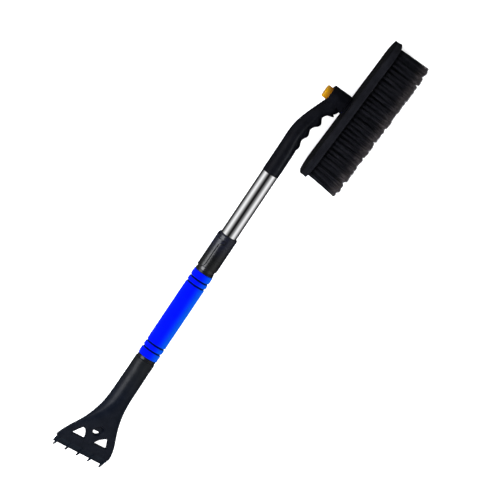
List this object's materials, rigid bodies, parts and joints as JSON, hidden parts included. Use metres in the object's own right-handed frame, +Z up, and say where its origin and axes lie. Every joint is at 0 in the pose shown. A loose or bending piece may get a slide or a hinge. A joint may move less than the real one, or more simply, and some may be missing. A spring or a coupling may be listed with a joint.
{
  "type": "snow brush scraper",
  "caption": "Telescopic snow brush with a swivelling bristle head, push-button release, lever-locked metal pole, foam grip and an ice scraper blade.",
  "frame": {"origin": "centre of the footprint at the lowest point, with the brush lying on its side", "axes": "+X along the pole from the scraper to the brush, +Y towards the release button (the bristles point to -Y), +Z up"},
  "size_m": [0.7468, 0.1516, 0.0644],
  "materials": {
    "black_plastic": "satin",
    "blade_plastic": "satin",
    "lock_plastic": "satin",
    "tube_black": "satin",
    "grip_plastic": "satin",
    "brush_plastic": "satin",
    "button_plastic": "gloss",
    "nylon": "satin",
    "blue_foam": "matte",
    "pole_metal": "polished",
    "steel": "satin",
    "bristle": "matte"
  },
  "bodies": {
    "handle": {"scraper_head": "black_plastic", "scraper_blade": "blade_plastic", "blade_screws": "steel", "neck_screw": "steel", "outer_tube": "tube_black", "lower_collar": "black_plastic", "upper_collar": "black_plastic", "foam_grip": "blue_foam", "lock_sleeve": "lock_plastic", "lever_pin": "steel", "sleeve_bush": "nylon", "brake_shoe": "nylon"},
    "lever": {"lock_lever": "lock_plastic"},
    "slider": {"guide_plug": "nylon"},
    "pole": {"inner_tube": "pole_metal", "brush_grip": "grip_plastic", "grip_screw": "steel"},
    "button": {"release_button": "button_plastic", "button_spring": "steel"},
    "brush_head": {"swivel_spindle": "grip_plastic", "spindle_screws": "steel", "retaining_washer": "steel", "retaining_screw": "steel", "brush_back": "brush_plastic", "bristle_plate": "brush_plastic", "plate_rivets": "brush_plastic", "bristle_row_1": "bristle", "bristle_row_2": "bristle", "bristle_row_3": "bristle", "bristle_row_4": "bristle", "bristle_row_5": "bristle"},
    "index": {"index_ring": "nylon"}
  },
  "joints": [
    {"name": "lever_swing", "type": "hinge", "parent": "handle", "child": "lever", "pos_m": [0.0077, 0.04049, 0.04151], "axis": [0, 0.4602, -0.8878], "range_deg": [0, 105]},
    {"name": "telescope", "type": "slide", "parent": "handle", "child": "slider", "axis": [1, 0, 0], "range_m": [-0.08, 0.15]},
    {"name": "pole_turn", "type": "hinge", "parent": "slider", "child": "pole", "pos_m": [0.0011, 0.02762, 0.03483], "axis": [1, 0, 0], "continuous": true},
    {"name": "brush_swivel", "type": "hinge", "parent": "pole", "child": "brush_head", "pos_m": [0.259, -0.01028, 0.03483], "axis": [0.0506, 0.9987, 0], "continuous": true},
    {"name": "button_press", "type": "slide", "parent": "pole", "child": "button", "axis": [-0.0506, -0.9987, 0], "range_m": [0, 0.0035], "stiffness_N_per_m": 1200, "springref_m": -0.002, "deforming": ["button_spring"]},
    {"name": "index_slide", "type": "slide", "parent": "brush_head", "child": "index", "axis": [-0.0506, -0.9987, 0], "range_m": [0, 0.0035]}
  ],
  "couplings": [
    {"joint": "index_slide", "follows": "button_press", "ratio": 1}
  ]
}
